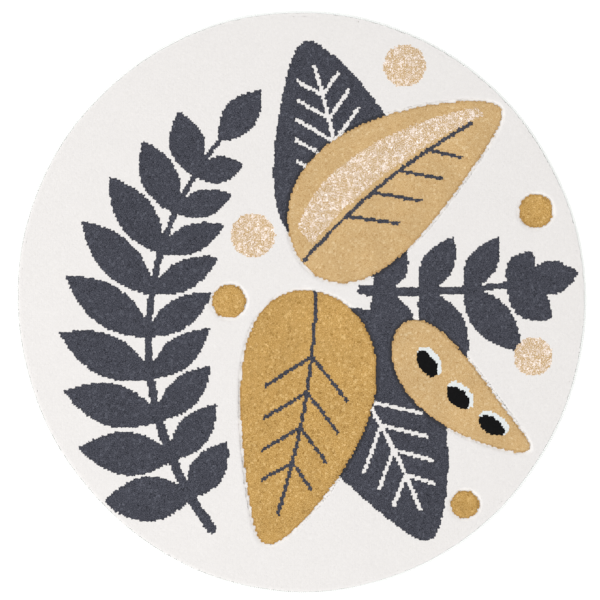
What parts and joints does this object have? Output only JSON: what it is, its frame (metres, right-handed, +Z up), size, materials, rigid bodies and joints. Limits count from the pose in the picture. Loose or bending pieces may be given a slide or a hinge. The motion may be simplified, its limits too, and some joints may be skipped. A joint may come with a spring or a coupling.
{
  "type": "round kids rug",
  "caption": "Round short-pile rug for a child's room, with a leaf and seed-pod design, carved contours and a serged yarn edge; lies flat on the floor.",
  "frame": {"origin": "on the floor, under the middle of the rug's own box", "axes": "+Z up from the floor through the pile; +Y towards the top of the rug as one looks down on it, the slightly longer way across"},
  "size_m": [1.1884, 1.2148, 0.0125],
  "materials": {
    "cream_pile": "matt frise pile yarn, off-white",
    "charcoal_pile": "matt frise pile yarn, blue-grey charcoal",
    "ochre_pile": "matt frise pile yarn, ochre",
    "light_ochre_pile": "matt frise pile yarn, light ochre",
    "heather_pile": "matt frise pile yarn, ochre and pale pink-cream plied together",
    "black_pile": "matt pile yarn, black",
    "white_pile": "matt pile yarn, white",
    "binding_yarn": "matt serging yarn, cool off-white",
    "ground_cloth": "matt woven backing, undyed"
  },
  "bodies": {
    "root": {"rug_field": "cream_pile", "edge_binding": "binding_yarn"}
  },
  "joints": []
}
